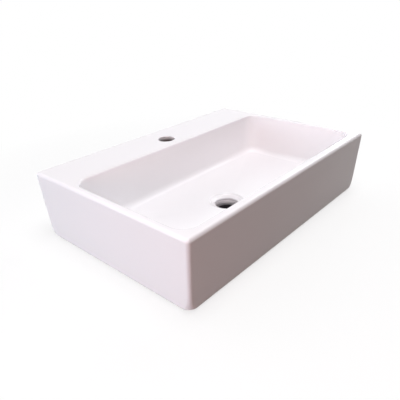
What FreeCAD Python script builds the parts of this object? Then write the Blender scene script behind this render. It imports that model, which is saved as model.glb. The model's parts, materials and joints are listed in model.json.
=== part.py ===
"""Countertop basin of glazed china with a tap ledge, and the free-flow waste in its drain.

Lengths are millimetres. +X is to the right seen from the front, +Y is towards the wall and +Z is up.
The origin is the middle of the foot's rear band, on the surface that the basin stands on.
"""

import FreeCAD, Part
import os
import re

import Sketcher
from FreeCAD import Vector

# Driving dimensions: alias, value, what it is
SIZES = (
    ("basin_width", 550.0, "overall width of the basin, at the top"),
    ("basin_depth", 380.0, "overall depth of the basin, front to back, at the top"),
    ("basin_height", 130.0, "from the counter to the rim"),
    ("side_draft", 4.0, "how far each side wall leans in at the foot"),
    ("front_draft", 8.0, "how far the front wall leans in at the foot"),
    ("rear_draft", 10.0, "how far the rear wall leans in at the foot"),
    ("corner_radius", 8.0, "upright outer edges"),
    ("rim_outer_radius", 4.5, "rounding of the rim's outer edge"),
    ("foot_edge_radius", 7.5, "rounding of the foot's outer edge"),
    ("ledge_depth", 100.0, "tap ledge, from the rear edge to the bowl"),
    ("side_rim", 13.5, "rim beside the bowl"),
    ("front_rim", 17.0, "rim in front of the bowl"),
    ("rim_inner_radius", 3.5, "rounding of the edge of the bowl"),
    ("floor_height", 27.5, "bowl floor at the drain ring's edge, above the counter"),
    ("floor_thickness", 15.5, "china under the floor there"),
    ("drain_dip", 3.5, "how far the floor drops to the ring in the dip round it"),
    ("drain_dip_width", 3.6, "width of the slope of that dip"),
    ("floor_rise", 9.0, "how much higher the floor is at the bowl's walls than round the drain"),
    ("floor_flat", 45.0, "half the side of the square level part of the floor, round the drain"),
    ("floor_border", 5.0, "level border of the floor, inside the rounding at its walls"),
    ("bowl_side_draft", 9.0, "how far the bowl's side walls lean in at the floor"),
    ("bowl_front_draft", 8.0, "how far the bowl's front wall leans in at the floor"),
    ("bowl_rear_draft", 4.0, "how far the bowl's rear wall leans in at the floor"),
    ("bowl_corner_radius", 28.0, "upright corners of the bowl"),
    ("bowl_floor_radius", 12.0, "rounding between the bowl's walls and floor"),
    ("wall_thickness", 12.0, "china round the hollow under the ledge, and the ledge itself"),
    ("foot_width", 22.0, "band that the basin stands on"),
    ("hollow_corner_radius", 12.0, "upright corners of the recess and the hollow"),
    ("hollow_roof_radius", 8.0, "rounding under the ledge"),
    ("heel_radius", 10.0, "rounding under the bowl's rear edge, where the floor turns up"),
    ("tap_hole_radius", 17.5, "tap hole"),
    ("tap_hole_setback", 61.0, "tap hole centre, from the rear edge"),
    ("tap_hole_edge_radius", 1.5, "glazed edge of the tap hole"),
    ("drain_forward", 35.0, "drain axis in front of the middle of the basin"),
    ("drain_bore_radius", 23.0, "bore through the floor"),
    ("drain_chamfer", 4.6, "bevel from the waste's seat down to the bore"),
    ("ring_radius", 31.5, "outer radius of the white ring and of the flange below it"),
    ("ring_seat_clearance", 0.4, "gap round the ring in its seat"),
    ("ring_edge", 4.5, "thickness of the ring at its outer edge"),
    ("ring_lip_radius", 7.5, "rounding of the ring into its throat"),
    ("throat_radius", 22.5, "opening of the ring"),
    ("throat_depth", 8.3, "from the ring's top to the lower end of its throat"),
    ("throat_wall", 1.5, "thickness of the ring at the lower end of its throat"),
    ("flange_edge", 1.8, "thickness of the waste's flange"),
    ("flange_dish_radius", 27.8, "where the flange starts to dip"),
    ("waste_bore_radius", 18.8, "inside of the waste's tube"),
    ("waste_funnel_depth", 6.7, "height of the cone from the throat to the bore"),
    ("waste_thread_radius", 20.95, "outside of the pipe thread, one and a quarter inch"),
    ("waste_length", 57.0, "from the top of the flange to the lower end of the tube"),
    ("waste_shoulder", 4.0, "from the seat's level down to the end of the dish's outer wall"),
    ("waste_shoulder_radius", 22.6, "outside of the dish where it enters the bore"),
    ("flange_seal_thickness", 1.3, "rubber ring under the flange"),
    ("flange_seal_width", 2.8, "width of that ring"),
    ("thread_clearance", 0.3, "gap between the thread and what slides or screws on it"),
    ("lower_seal_radius", 31.0, "rubber washer under the floor, at its lower face"),
    ("lower_seal_top_radius", 28.5, "the same, at the china"),
    ("lower_seal_thickness", 6.0, "the same, below the china"),
    ("lower_seal_spigot", 2.0, "how far the rubber reaches up into the bore"),
    ("spigot_clearance", 0.3, "gap between the rubber's spigot and the bore"),
    ("slip_washer_thickness", 1.6, "plastic washer between the rubber and the nut"),
    ("back_nut_flats", 56.0, "back nut, across flats"),
    ("back_nut_height", 10.0, "back nut"),
    ("nut_corner_bevel", 1.4, "height of the bevel on a nut's corners"),
    ("nut_bevel_width", 3.2, "width of the bevel on a nut's corners"),
    ("tail_seal_thickness", 2.5, "rubber ring on the collar of the tail pipe"),
    ("collar_radius", 19.5, "collar of the tail pipe"),
    ("collar_thickness", 2.5, "the same"),
    ("tail_radius", 16.0, "outside of the tail pipe"),
    ("tail_wall", 1.0, "wall of the tail pipe"),
    ("tail_length", 80.0, "tail pipe, with its collar"),
    ("tail_end_chamfer", 0.4, "bevel at the tail pipe's lower end"),
    ("tail_neck_step", 0.2, "how much wider the pipe is where the union nut slides"),
    ("tail_neck_length", 6.0, "length of that neck below the collar"),
    ("union_nut_flats", 50.0, "union nut, across flats"),
    ("union_nut_height", 18.0, "union nut"),
    ("union_nut_lip", 3.0, "inward lip that carries the collar"),
    ("union_nut_clearance", 0.4, "gap between the lip and the tail pipe's neck"),
    ("cut_overrun", 5.0, "how far a cut runs past the face that it opens"),
)
ALIASES = {alias for alias, _, _ in SIZES}
TOLERANCE_SHARE = 0.001
NUT_SIDES = 6

# Places worked out from the driving dimensions, measured from the middle of the basin's plan
PLAN_CENTRE = "-(basin_depth / 2 - rear_draft - (foot_width + foot_edge_radius) / 2)"
DRAIN_AXIS = f"{PLAN_CENTRE} - drain_forward"
FLAT_LEVEL = "(floor_height + drain_dip)"
BORDER_LEVEL = f"({FLAT_LEVEL} + floor_rise)"
FLOOR_UNDERSIDE = "(floor_height - floor_thickness)"
FLANGE_TOP = "(floor_height - ring_edge)"
SEAT_LEVEL = "(floor_height - ring_edge - flange_edge - flange_seal_thickness)"
WASHER_TOP = f"({FLOOR_UNDERSIDE} - lower_seal_thickness)"
BACK_NUT_TOP = f"({WASHER_TOP} - slip_washer_thickness)"
WASTE_END = f"({FLANGE_TOP} - waste_length)"
COLLAR_TOP = f"({WASTE_END} - tail_seal_thickness)"
COLLAR_UNDERSIDE = f"({COLLAR_TOP} - collar_thickness)"
THREAD_BORE = "(waste_thread_radius + thread_clearance)"


def bound(formula):
    """The formula with each alias written as a cell of the sheet."""

    def cell(word):
        return f"Sizes.{word.group()}" if word.group() in ALIASES else word.group()

    return re.sub(r"[a-z_]+", cell, formula)


def value(document, formula):
    """The number that a formula on the sheet gives."""
    return float(document.Sizes.evalExpression(bound(formula)))


def make_sheet(document):
    """Write the driving dimensions into the document's sheet."""
    sheet = document.addObject("Spreadsheet::Sheet", "Sizes")
    for row, (alias, number, meaning) in enumerate(SIZES, start=1):
        sheet.set(f"A{row}", alias)
        sheet.set(f"B{row}", str(number))
        sheet.set(f"C{row}", meaning)
        sheet.setAlias(f"B{row}", alias)
    document.recompute()
    return sheet


def make_body(document, label, along="0", height="0"):
    """A body on the middle line, at a place along Y and a height that follow the sheet."""
    body = document.addObject("PartDesign::Body", label)
    body.Label = label
    body.setExpression(".Placement.Base.y", bound(along))
    body.setExpression(".Placement.Base.z", bound(height))
    return body


def make_sketch(body, name, role, offset="0"):
    """An empty sketch on one of the body's own origin planes, moved along the plane's normal."""
    sketch = body.newObject("Sketcher::SketchObject", name)
    plane = next(feature for feature in body.Origin.OriginFeatures if feature.Role == role)
    sketch.AttachmentSupport = [(plane, "")]
    sketch.MapMode = "FlatFace"
    sketch.setExpression(".AttachmentOffset.Base.z", bound(offset))
    return sketch


def constrain(sketch, kind, arguments, name=None, formula=None):
    """Add a constraint, and bind it to a formula on the sheet where it has one."""
    index = sketch.addConstraint(Sketcher.Constraint(kind, *arguments))
    if formula is not None:
        sketch.renameConstraint(index, name)
        sketch.setExpression(f"Constraints.{name}", bound(formula))
    return index


def rectangle(body, name, level, half_width, front, rear):
    """A level rectangle, symmetric in X, with its front and rear edges at two places along Y."""
    document = body.Document
    sketch = make_sketch(body, name, "XY_Plane", level)
    wide, near, far = (value(document, formula) for formula in (half_width, front, rear))
    corners = (Vector(-wide, near, 0), Vector(wide, near, 0), Vector(wide, far, 0), Vector(-wide, far, 0))
    count = len(corners)
    for place in range(count):
        sketch.addGeometry(Part.LineSegment(corners[place], corners[(place + 1) % count]))
    for place in range(count):
        constrain(sketch, "Coincident", (place, 2, (place + 1) % count, 1))
        constrain(sketch, "Horizontal" if place % 2 == 0 else "Vertical", (place,))
    constrain(sketch, "DistanceX", (-1, 1, 1, 1, wide), "right", half_width)
    constrain(sketch, "DistanceX", (3, 1, -1, 1, wide), "left", half_width)
    constrain_height(sketch, 0, near, "front", front)
    constrain_height(sketch, 2, far, "rear", rear)
    return sketch


def constrain_height(sketch, line, place, name, formula):
    """Hold the start of a line at a place along the sketch's second axis, above or below the origin."""
    if place >= 0:
        constrain(sketch, "DistanceY", (-1, 1, line, 1, place), name, formula)
    else:
        constrain(sketch, "DistanceY", (line, 1, -1, 1, -place), name, f"-({formula})")


def upright_profile(body, name, corners, forward="0"):
    """A closed outline of straight edges in the XZ plane, each corner a radius and a height."""
    document = body.Document
    sketch = make_sketch(body, name, "XZ_Plane", forward)
    places = [(value(document, radius), value(document, height)) for radius, height in corners]
    count = len(places)
    for place in range(count):
        start = Vector(*places[place], 0)
        end = Vector(*places[(place + 1) % count], 0)
        sketch.addGeometry(Part.LineSegment(start, end))
    for place in range(count):
        constrain(sketch, "Coincident", (place, 2, (place + 1) % count, 1))
    for place, (radius, height) in enumerate(corners):
        across, up = places[place]
        constrain(sketch, "DistanceX", (-1, 1, place, 1, across), f"radius{place}", radius)
        constrain_height(sketch, place, up, f"height{place}", height)
    return sketch


def turned(body, name, corners):
    """A solid of revolution about the body's Z axis."""
    sketch = upright_profile(body, name + "Profile", corners)
    feature = body.newObject("PartDesign::Revolution", name)
    feature.Profile = sketch
    feature.ReferenceAxis = (sketch, ["V_Axis"])
    feature.Angle = 360
    body.Document.recompute()
    return feature


def turned_cut(body, name, corners, forward="0"):
    """A cut of revolution about an upright axis that lies forward of the body's origin."""
    sketch = upright_profile(body, name + "Profile", corners, forward)
    feature = body.newObject("PartDesign::Groove", name)
    feature.Profile = sketch
    feature.ReferenceAxis = (sketch, ["V_Axis"])
    feature.Angle = 360
    body.Document.recompute()
    return feature


def level_cut(body, name, sketch, depth, upwards=False):
    """A pocket of the sketch's outline, down from its level or up from it."""
    feature = body.newObject("PartDesign::Pocket", name)
    feature.Profile = sketch
    feature.Reversed = upwards
    feature.setExpression("Length", bound(depth))
    body.Document.recompute()
    return feature


def lean(body, name, base, walls, travel, height, level, outwards):
    """Lean the base's upright walls by a travel over a height, about the level where they stay in place.

    walls are pairs of an axis and a place: the walls that lie square to that axis at that place.
    """
    document = body.Document
    reach = value(document, "basin_height") * TOLERANCE_SHARE
    hinge = value(document, level)

    def is_wall(box):
        for axis, formula in walls:
            place = value(document, formula)
            low, high = (box.XMin, box.XMax) if axis == "X" else (box.YMin, box.YMax)
            if abs(low - place) < reach and abs(high - place) < reach:
                return True
        return False

    def is_level(box):
        return abs(box.ZMin - hinge) < reach and abs(box.ZMax - hinge) < reach

    boxes = [(f"Face{index}", face.BoundBox) for index, face in enumerate(base.Shape.Faces, start=1)]
    feature = body.newObject("PartDesign::Draft", name)
    feature.Base = (base, [label for label, box in boxes if is_wall(box)])
    feature.NeutralPlane = (base, [label for label, box in boxes if is_level(box)][:1])
    feature.Reversed = outwards
    feature.setExpression("Angle", bound(f"atan({travel} / ({height}))"))
    document.recompute()
    return feature


def edges_that(feature, test):
    """The names of the feature's edges whose box passes the test."""
    edges = enumerate(feature.Shape.Edges, start=1)
    return [f"Edge{index}" for index, edge in edges if test(edge.BoundBox)]


def round_edges(body, name, base, test, alias):
    """Round the base feature's edges that pass the test, by one of the sheet's sizes."""
    feature = body.newObject("PartDesign::Fillet", name)
    feature.Base = (base, edges_that(base, test))
    feature.setExpression("Radius", bound(alias))
    body.Document.recompute()
    return feature


def level_test(document, height, half_width="basin_width"):
    """A test for edges that lie wholly at one height, within a half width."""
    level = value(document, height)
    reach = value(document, "basin_height") * TOLERANCE_SHARE
    wide = value(document, half_width)

    def test(box):
        at_level = abs(box.ZMin - level) < reach and abs(box.ZMax - level) < reach
        return at_level and max(-box.XMin, box.XMax) < wide

    return test


def upright_test(document, starts, half_width, front="-basin_depth", rear="basin_depth"):
    """A test for upright edges from one of the levels, within a half width and between two places."""
    wide, near, far = (value(document, formula) for formula in (half_width, front, rear))
    reach = value(document, "basin_height") * TOLERANCE_SHARE
    levels = [value(document, start) for start in starts]

    def test(box):
        inside = max(-box.XMin, box.XMax) < wide and box.YMin > near and box.YMax < far
        starts_there = any(abs(box.ZMin - level) < reach for level in levels)
        across = max(box.XMax - box.XMin, box.YMax - box.YMin)
        return inside and starts_there and box.ZMax - box.ZMin > across

    return test


def make_shell(body):
    """The outer block: walls that lean in from the rim to the foot, with rounded edges."""
    document = body.Document
    half_width = "(basin_width / 2 - side_draft)"
    front = "-(basin_depth / 2 - front_draft)"
    rear = "(basin_depth / 2 - rear_draft)"
    block = body.newObject("PartDesign::Pad", "Block")
    block.Profile = rectangle(body, "FootOutline", "0", half_width, front, rear)
    block.setExpression("Length", bound("basin_height"))
    document.recompute()
    sides = (("X", half_width), ("X", f"-{half_width}"))
    tall = "basin_height"
    leant = lean(body, "SideDraft", block, sides, "side_draft", tall, "0", outwards=True)
    leant = lean(body, "FrontDraft", leant, (("Y", front),), "front_draft", tall, "0", outwards=True)
    leant = lean(body, "RearDraft", leant, (("Y", rear),), "rear_draft", tall, "0", outwards=True)
    at_foot = level_test(document, "0")
    at_rim = level_test(document, "basin_height")
    uprights = upright_test(document, ("0",), "basin_width")
    cornered = round_edges(body, "CornerRounding", leant, uprights, "corner_radius")
    footed = round_edges(body, "FootRounding", cornered, at_foot, "foot_edge_radius")
    return round_edges(body, "RimRounding", footed, at_rim, "rim_outer_radius")


def make_bowl(body):
    """The bowl: walls that lean in towards the floor, round corners and a soft edge at the rim."""
    document = body.Document
    half_width = "(basin_width / 2 - side_rim)"
    front = "-(basin_depth / 2 - front_rim)"
    rear = "(basin_depth / 2 - ledge_depth)"
    depth = f"basin_height - {BORDER_LEVEL}"
    opening = rectangle(body, "BowlOpening", "basin_height", half_width, front, rear)
    bowl = level_cut(body, "Bowl", opening, depth)
    side_walls = (("X", half_width), ("X", f"-{half_width}"))
    front_wall = (("Y", front),)
    rear_wall = (("Y", rear),)
    rim = "basin_height"
    leant = lean(body, "BowlSideDraft", bowl, side_walls, "bowl_side_draft", depth, rim, outwards=False)
    leant = lean(body, "BowlFrontDraft", leant, front_wall, "bowl_front_draft", depth, rim, outwards=False)
    leant = lean(body, "BowlRearDraft", leant, rear_wall, "bowl_rear_draft", depth, rim, outwards=False)
    middle_of_side = "(basin_width - side_rim) / 2"
    middle_of_front = "-(basin_depth - front_rim) / 2"
    middle_of_ledge = "(basin_depth - ledge_depth) / 2"
    limits = (middle_of_side, middle_of_front, middle_of_ledge)
    uprights = upright_test(document, (BORDER_LEVEL,), *limits)
    at_floor = level_test(document, BORDER_LEVEL)
    at_rim = level_test(document, rim, middle_of_side)
    near, far = (value(document, formula) for formula in (middle_of_front, middle_of_ledge))
    cornered = round_edges(body, "BowlCornerRounding", leant, uprights, "bowl_corner_radius")
    floored = round_edges(body, "BowlFloorRounding", cornered, at_floor, "bowl_floor_radius")

    def opening_test(box):
        return at_rim(box) and box.YMin > near and box.YMax < far

    round_edges(body, "BowlEdgeRounding", floored, opening_test, "rim_inner_radius")


def make_floor_slopes(body):
    """The four slopes of the bowl's floor, from its border down to the level part round the drain."""
    document = body.Document
    half_width = "(basin_width / 2 - side_rim - bowl_side_draft - bowl_floor_radius - floor_border)"
    front = "-(basin_depth / 2 - front_rim - bowl_front_draft - bowl_floor_radius - floor_border)"
    rear = "(basin_depth / 2 - ledge_depth - bowl_rear_draft - bowl_floor_radius - floor_border)"
    outline = rectangle(body, "SlopeOutline", BORDER_LEVEL, half_width, front, rear)
    sunk = level_cut(body, "FloorSlopes", outline, "floor_rise")
    sides = (("X", half_width), ("X", f"-{half_width}"))
    side_travel = f"({half_width} - floor_flat)"
    front_travel = f"(-{front} - drain_forward - floor_flat)"
    rear_travel = f"({rear} + drain_forward - floor_flat)"
    tall, hinge = "floor_rise", BORDER_LEVEL
    leant = lean(body, "SideSlopes", sunk, sides, side_travel, tall, hinge, outwards=False)
    leant = lean(body, "FrontSlope", leant, (("Y", front),), front_travel, tall, hinge, outwards=False)
    lean(body, "RearSlope", leant, (("Y", rear),), rear_travel, tall, hinge, outwards=False)


def make_underside(body):
    """The recess inside the foot band, and the hollow that rises under the tap ledge."""
    document = body.Document
    half_width = "(basin_width / 2 - side_draft - foot_width)"
    front = "-(basin_depth / 2 - front_draft - foot_width)"
    rear = "(basin_depth / 2 - rear_draft - foot_width)"
    bowl_back = "(basin_depth / 2 - ledge_depth - bowl_rear_draft + wall_thickness)"
    outline = rectangle(body, "RecessOutline", "0", half_width, front, rear)
    level_cut(body, "Recess", outline, FLOOR_UNDERSIDE, upwards=True)
    outline = rectangle(body, "HollowOutline", "0", half_width, bowl_back, rear)
    height = "(basin_height - wall_thickness)"
    hollow = level_cut(body, "Hollow", outline, height, upwards=True)
    side_walls = (("X", half_width), ("X", f"-{half_width}"))
    rear_wall = (("Y", rear),)
    bowl_wall = (("Y", bowl_back),)
    side_travel = "(side_draft + foot_width - wall_thickness)"
    rear_travel = "(rear_draft + foot_width - wall_thickness)"
    leant = lean(body, "HollowSideDraft", hollow, side_walls, side_travel, height, "0", outwards=False)
    leant = lean(body, "HollowRearDraft", leant, rear_wall, rear_travel, height, "0", outwards=False)
    leant = lean(body, "HollowFrontDraft", leant, bowl_wall, "bowl_rear_draft", height, "0", outwards=True)
    corners = upright_test(document, ("0", FLOOR_UNDERSIDE), "basin_width / 2 - corner_radius")
    at_roof = level_test(document, height)
    cornered = round_edges(body, "HollowCornerRounding", leant, corners, "hollow_corner_radius")
    roofed = round_edges(body, "HollowRoofRounding", cornered, at_roof, "hollow_roof_radius")
    at_underside = level_test(document, FLOOR_UNDERSIDE)
    least = value(document, half_width)

    def heel_test(box):
        return at_underside(box) and box.YMin > 0 and box.XMax - box.XMin > least

    return round_edges(body, "HeelRounding", roofed, heel_test, "heel_radius")


def make_tap_hole(body):
    """The round hole through the ledge, with a glazed edge."""
    document = body.Document
    sketch = make_sketch(body, "TapHoleOutline", "XY_Plane", "basin_height")
    centre = "basin_depth / 2 - tap_hole_setback"
    along = value(document, centre)
    radius = value(document, "tap_hole_radius")
    circle = sketch.addGeometry(Part.Circle(Vector(0, along, 0), Vector(0, 0, 1), radius))
    constrain(sketch, "PointOnObject", (circle, 3, -2))
    constrain(sketch, "Radius", (circle, radius), "radius", "tap_hole_radius")
    constrain(sketch, "DistanceY", (-1, 1, circle, 3, along), "along", centre)
    hole = body.newObject("PartDesign::Pocket", "TapHole")
    hole.Profile = sketch
    hole.setExpression("Length", bound("wall_thickness + cut_overrun"))
    document.recompute()
    at_top = level_test(document, "basin_height", "tap_hole_radius + cut_overrun")
    return round_edges(body, "TapHoleRounding", hole, at_top, "tap_hole_edge_radius")


def make_basin(document):
    """The china body: one casting."""
    body = make_body(document, "basin", along=PLAN_CENTRE)
    make_shell(body)
    make_bowl(body)
    make_floor_slopes(body)
    make_underside(body)
    make_tap_hole(body)
    seat_radius = "ring_radius + ring_seat_clearance"
    dip_radius = f"{seat_radius} + drain_dip_width"
    turned_cut(
        body, "DrainSeat",
        (
            ("0", "-cut_overrun"),
            ("drain_bore_radius", "-cut_overrun"),
            ("drain_bore_radius", f"{SEAT_LEVEL} - drain_chamfer"),
            ("drain_bore_radius + drain_chamfer", SEAT_LEVEL),
            (seat_radius, SEAT_LEVEL),
            (seat_radius, "floor_height"),
            (dip_radius, FLAT_LEVEL),
            (dip_radius, f"{FLAT_LEVEL} + cut_overrun"),
            ("0", f"{FLAT_LEVEL} + cut_overrun"),
        ),
        forward="drain_forward",
    )
    return body


def make_drain_ring(document):
    """The white ring that forms the drain's rounded lip. Its origin is level with its top."""
    body = make_body(document, "drain_ring", along=DRAIN_AXIS, height="floor_height")
    ring = turned(
        body, "Ring",
        (
            ("ring_radius", "-ring_edge"),
            ("ring_radius", "0"),
            ("throat_radius", "0"),
            ("throat_radius", "-throat_depth"),
            ("throat_radius + throat_wall", "-throat_depth"),
            ("flange_dish_radius", "-ring_edge"),
        ),
    )
    reach = value(document, "throat_wall / 2")
    throat = value(document, "throat_radius")

    def lip_test(box):
        return abs(box.ZMin) < reach and abs(box.ZMax) < reach and abs(box.XMax - throat) < reach

    round_edges(body, "Lip", ring, lip_test, "ring_lip_radius")
    return body


def make_waste_body(document):
    """The waste: a dished flange, a funnel and a tube. Its origin is level with the flange's top."""
    body = make_body(document, "waste_body", along=DRAIN_AXIS, height=FLANGE_TOP)
    throat_end = "ring_edge - throat_depth"
    shoulder = "-(flange_edge + flange_seal_thickness + waste_shoulder)"
    turned(
        body, "Waste",
        (
            ("ring_radius", "-flange_edge"),
            ("ring_radius", "0"),
            ("flange_dish_radius", "0"),
            ("throat_radius + throat_wall", throat_end),
            ("throat_radius", throat_end),
            ("waste_bore_radius", f"{throat_end} - waste_funnel_depth"),
            ("waste_bore_radius", "-waste_length"),
            ("waste_thread_radius", "-waste_length"),
            ("waste_thread_radius", f"{shoulder} - (waste_shoulder_radius - waste_thread_radius)"),
            ("waste_shoulder_radius", shoulder),
            ("ring_radius - flange_seal_width", "-flange_edge"),
        ),
    )
    return body


def make_flat_ring(document, label, height, inner, outer, thickness):
    """A flat ring on the drain's axis, whose body's origin is at its top face."""
    body = make_body(document, label, along=DRAIN_AXIS, height=height)
    turned(body, "Flat", ((inner, f"-{thickness}"), (inner, "0"), (outer, "0"), (outer, f"-{thickness}")))
    return body


def make_lower_seal(document):
    """The tapered rubber washer under the floor, with a spigot that fills the bore round the thread."""
    body = make_body(document, "lower_seal", along=DRAIN_AXIS, height=FLOOR_UNDERSIDE)
    spigot = "drain_bore_radius - spigot_clearance"
    turned(
        body, "Washer",
        (
            (THREAD_BORE, "-lower_seal_thickness"),
            (THREAD_BORE, "lower_seal_spigot"),
            (spigot, "lower_seal_spigot"),
            (spigot, "0"),
            ("lower_seal_top_radius", "0"),
            ("lower_seal_radius", "-lower_seal_thickness"),
        ),
    )
    return body


def make_hexagon(body, name, flats):
    """A level hexagon round the body's axis, with two flats parallel to X."""
    document = body.Document
    sketch = make_sketch(body, name, "XY_Plane")
    across = value(document, flats)
    corners = [Vector(across / 3 ** 0.5, 0, 0)]
    turn = FreeCAD.Rotation(Vector(0, 0, 1), 360 / NUT_SIDES)
    while len(corners) < NUT_SIDES:
        corners.append(turn.multVec(corners[-1]))
    count = len(corners)
    for place in range(count):
        sketch.addGeometry(Part.LineSegment(corners[place], corners[(place + 1) % count]))
    rim = sketch.addGeometry(Part.Circle(Vector(0, 0, 0), Vector(0, 0, 1), corners[0].Length), True)
    constrain(sketch, "Coincident", (rim, 3, -1, 1))
    for place in range(count):
        constrain(sketch, "Coincident", (place, 2, (place + 1) % count, 1))
        constrain(sketch, "PointOnObject", (place, 1, rim))
    for place in range(1, count):
        constrain(sketch, "Equal", (0, place))
    constrain(sketch, "PointOnObject", (0, 1, -1))
    constrain(sketch, "DistanceY", (4, 1, 1, 1, across), "flats", flats)
    return sketch


def make_nut(document, label, height, flats, tall):
    """A six-sided block with bevelled corners, whose body's origin is at its top face."""
    body = make_body(document, label, along=DRAIN_AXIS, height=height)
    block = body.newObject("PartDesign::Pad", "Block")
    block.Profile = make_hexagon(body, "Hexagon", flats)
    block.Reversed = True
    block.setExpression("Length", bound(tall))
    document.recompute()
    inner = f"{flats} / 2"
    corner = f"({inner} + nut_bevel_width)"
    outer = f"({corner} + cut_overrun)"
    ends = (("UpperBevel", "0", "-", "+"), ("LowerBevel", f"-{tall}", "+", "-"))
    for name, level, inwards, beyond in ends:
        slope_end = f"{level} {inwards} nut_corner_bevel"
        cut_end = f"{level} {beyond} cut_overrun"
        slope = ((inner, level), (corner, slope_end), (outer, slope_end))
        turned_cut(body, name, (*slope, (outer, cut_end), (inner, cut_end)))
    return body


def make_back_nut(document):
    """The nut that clamps the waste, bored for the thread."""
    body = make_nut(document, "back_nut", BACK_NUT_TOP, "back_nut_flats", "back_nut_height")
    turned_cut(
        body, "ThreadBore",
        (
            ("0", "-back_nut_height - cut_overrun"),
            (THREAD_BORE, "-back_nut_height - cut_overrun"),
            (THREAD_BORE, "cut_overrun"),
            ("0", "cut_overrun"),
        ),
    )
    return body


def make_tail_pipe(document):
    """The pipe that leads to the trap, with its collar. Its origin is at the collar's top."""
    body = make_body(document, "tail_pipe", along=DRAIN_AXIS, height=COLLAR_TOP)
    bore = "tail_radius - tail_wall"
    neck = "tail_radius + tail_neck_step"
    neck_end = "-collar_thickness - tail_neck_length"
    turned(
        body, "Pipe",
        (
            (bore, "-tail_length"),
            (bore, "0"),
            ("collar_radius", "0"),
            ("collar_radius", "-collar_thickness"),
            (neck, "-collar_thickness"),
            (neck, neck_end),
            ("tail_radius", f"{neck_end} - tail_neck_step"),
            ("tail_radius", "-tail_length + tail_end_chamfer"),
            ("tail_radius - tail_end_chamfer", "-tail_length"),
        ),
    )
    return body


def make_union_nut(document):
    """The nut that draws the collar up against the waste, with an inward lip at its lower end."""
    top = f"{COLLAR_UNDERSIDE} - union_nut_lip + union_nut_height"
    body = make_nut(document, "union_nut", top, "union_nut_flats", "union_nut_height")
    lip_top = "-union_nut_height + union_nut_lip"
    lip_bore = "tail_radius + tail_neck_step + union_nut_clearance"
    turned_cut(
        body, "ThreadBore",
        (
            ("0", "-union_nut_height - cut_overrun"),
            (lip_bore, "-union_nut_height - cut_overrun"),
            (lip_bore, lip_top),
            (THREAD_BORE, lip_top),
            (THREAD_BORE, "cut_overrun"),
            ("0", "cut_overrun"),
        ),
    )
    return body


def make_subparts(document):
    """Every sub-part of the sink, in the order that they are put together."""
    return [
        make_basin(document),
        make_drain_ring(document),
        make_waste_body(document),
        make_flat_ring(
            document, "flange_seal", f"{FLANGE_TOP} - flange_edge",
            "ring_radius - flange_seal_width", "ring_radius", "flange_seal_thickness",
        ),
        make_lower_seal(document),
        make_flat_ring(
            document, "slip_washer", WASHER_TOP,
            THREAD_BORE, "lower_seal_radius", "slip_washer_thickness",
        ),
        make_back_nut(document),
        make_flat_ring(
            document, "tail_seal", WASTE_END,
            "tail_radius - tail_wall", "collar_radius", "tail_seal_thickness",
        ),
        make_tail_pipe(document),
        make_union_nut(document),
    ]


def check(document, subparts):
    """Stop if an object has failed, or a sub-part isn't one valid solid."""
    for thing in document.Objects:
        if "Invalid" in thing.State or "Error" in thing.State:
            raise RuntimeError(f"{thing.Label} failed: {thing.State}")
    for body in subparts:
        if body.Shape.isNull() or not body.Shape.isValid():
            raise RuntimeError(f"{body.Label} has no valid shape")
        if len(body.Shape.Solids) != 1:
            raise RuntimeError(f"{body.Label} is {len(body.Shape.Solids)} solids")


def main():
    """Build the document and write each sub-part to its file."""
    document = FreeCAD.newDocument("Sink")
    make_sheet(document)
    subparts = make_subparts(document)
    document.recompute()
    check(document, subparts)
    os.makedirs("parts", exist_ok=True)
    for body in subparts:
        box = body.Shape.BoundBox
        body.Shape.exportStep(f"parts/{body.Label}.step")
        low = f"{box.XMin:.2f} {box.YMin:.2f} {box.ZMin:.2f}"
        high = f"{box.XMax:.2f} {box.YMax:.2f} {box.ZMax:.2f}"
        print(f"{body.Label}: {body.Shape.Volume:.0f} mm3, from {low} to {high}")


main()
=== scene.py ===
"""Looks of a countertop basin of glazed china and the free-flow waste in its drain.

Lengths are metres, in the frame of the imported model: +X is to the right seen from the front, +Y is
towards the wall and +Z is up. The basin's foot stands on the plane Z = 0.
"""

import json
import logging
import math
from dataclasses import dataclass, replace
from enum import Enum
from typing import Any, Callable, Iterable, Mapping, Optional, Sequence, Union

import bmesh
import bpy
import numpy as np
from mathutils import Matrix, Vector


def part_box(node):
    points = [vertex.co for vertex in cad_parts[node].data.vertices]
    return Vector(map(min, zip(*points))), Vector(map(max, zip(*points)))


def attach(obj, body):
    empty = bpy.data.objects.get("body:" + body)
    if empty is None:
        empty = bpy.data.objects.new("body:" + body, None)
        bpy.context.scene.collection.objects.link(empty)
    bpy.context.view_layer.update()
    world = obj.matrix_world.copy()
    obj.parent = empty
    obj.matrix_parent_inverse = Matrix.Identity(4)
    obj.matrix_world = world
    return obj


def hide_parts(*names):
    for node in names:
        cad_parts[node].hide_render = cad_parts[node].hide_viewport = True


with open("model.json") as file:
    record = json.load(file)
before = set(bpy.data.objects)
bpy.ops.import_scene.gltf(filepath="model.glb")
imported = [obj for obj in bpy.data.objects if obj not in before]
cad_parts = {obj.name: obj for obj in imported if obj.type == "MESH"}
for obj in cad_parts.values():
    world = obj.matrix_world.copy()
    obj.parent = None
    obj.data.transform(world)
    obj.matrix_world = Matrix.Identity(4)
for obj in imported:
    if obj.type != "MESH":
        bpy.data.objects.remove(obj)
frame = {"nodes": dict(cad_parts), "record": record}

LOG = logging.getLogger("basin")
ROOT_BODY = "root"
SHARP_DEGREES = 40.0

Key = Union[str, int]
Colour = tuple[float, float, float]
Place = tuple[float, float, float]
Loop = np.ndarray
Station = tuple[Loop, float]
Levels = Iterable[tuple[float, float]]
Look = dict[str, Any]
Verts = list[bmesh.types.BMVert]
Operand = Union["Signal", float]
Tint = Union["Signal", Colour]

WHITE: Colour = (1.0, 1.0, 1.0)


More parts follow.
